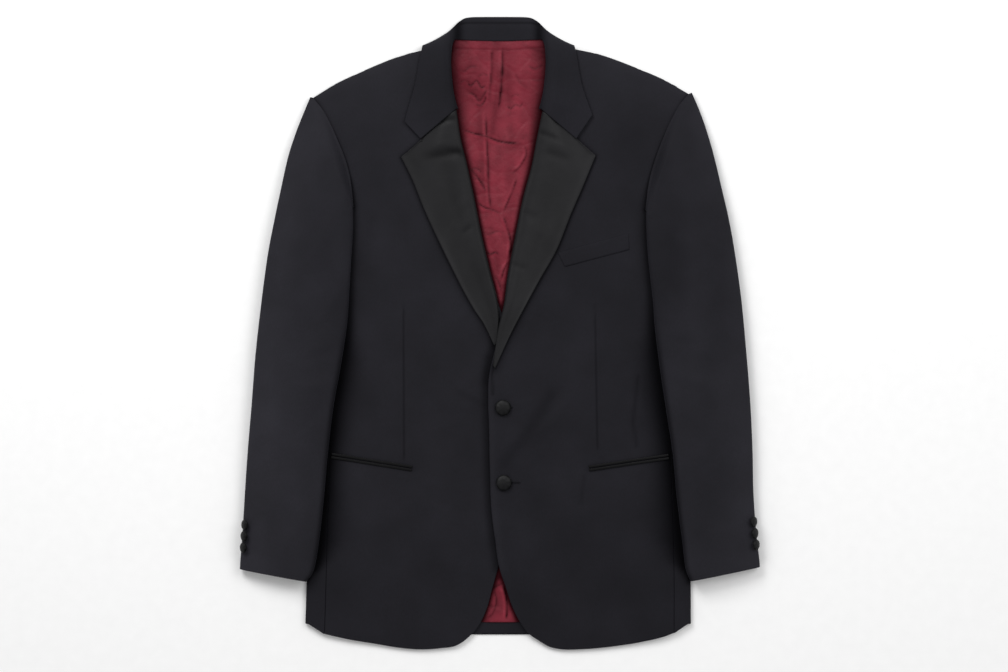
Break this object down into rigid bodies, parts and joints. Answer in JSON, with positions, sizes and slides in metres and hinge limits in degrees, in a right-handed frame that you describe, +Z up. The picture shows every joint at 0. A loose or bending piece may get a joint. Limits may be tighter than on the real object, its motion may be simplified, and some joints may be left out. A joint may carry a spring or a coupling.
{
  "type": "tuxedo jacket",
  "caption": "Single-breasted tuxedo jacket laid flat and buttoned, with satin notch lapels, jetted hip pockets, a breast welt and a dark red lining.",
  "frame": {"origin": "on the surface it lies on, under the middle of the jacket", "axes": "+Z up from the surface it lies on, +Y from the hem to the collar, +X to the wearer's left"},
  "size_m": [0.6757, 0.8212, 0.0303],
  "materials": {
    "wool": "fine matt worsted weave, midnight black",
    "satin": "smooth black satin",
    "lining": "smooth burgundy lining cloth",
    "covered_button": "black cloth stretched over the button"
  },
  "bodies": {
    "root": {"back_right": "wool", "side_right": "wool", "front_right": "wool", "sleeve_top_right": "wool", "sleeve_under_right": "wool", "lapel_right": "satin", "pocket_right_upper_jet": "satin", "pocket_right_lower_jet": "satin", "cuff_button_right_1": "covered_button", "cuff_button_right_2": "covered_button", "cuff_button_right_3": "covered_button", "back_left": "wool", "side_left": "wool", "front_left": "wool", "sleeve_top_left": "wool", "sleeve_under_left": "wool", "lapel_left": "satin", "pocket_left_upper_jet": "satin", "pocket_left_lower_jet": "satin", "cuff_button_left_1": "covered_button", "cuff_button_left_2": "covered_button", "cuff_button_left_3": "covered_button", "back_lining": "lining", "collar": "wool", "breast_welt": "wool", "button_upper": "covered_button", "button_lower": "covered_button"}
  },
  "joints": []
}
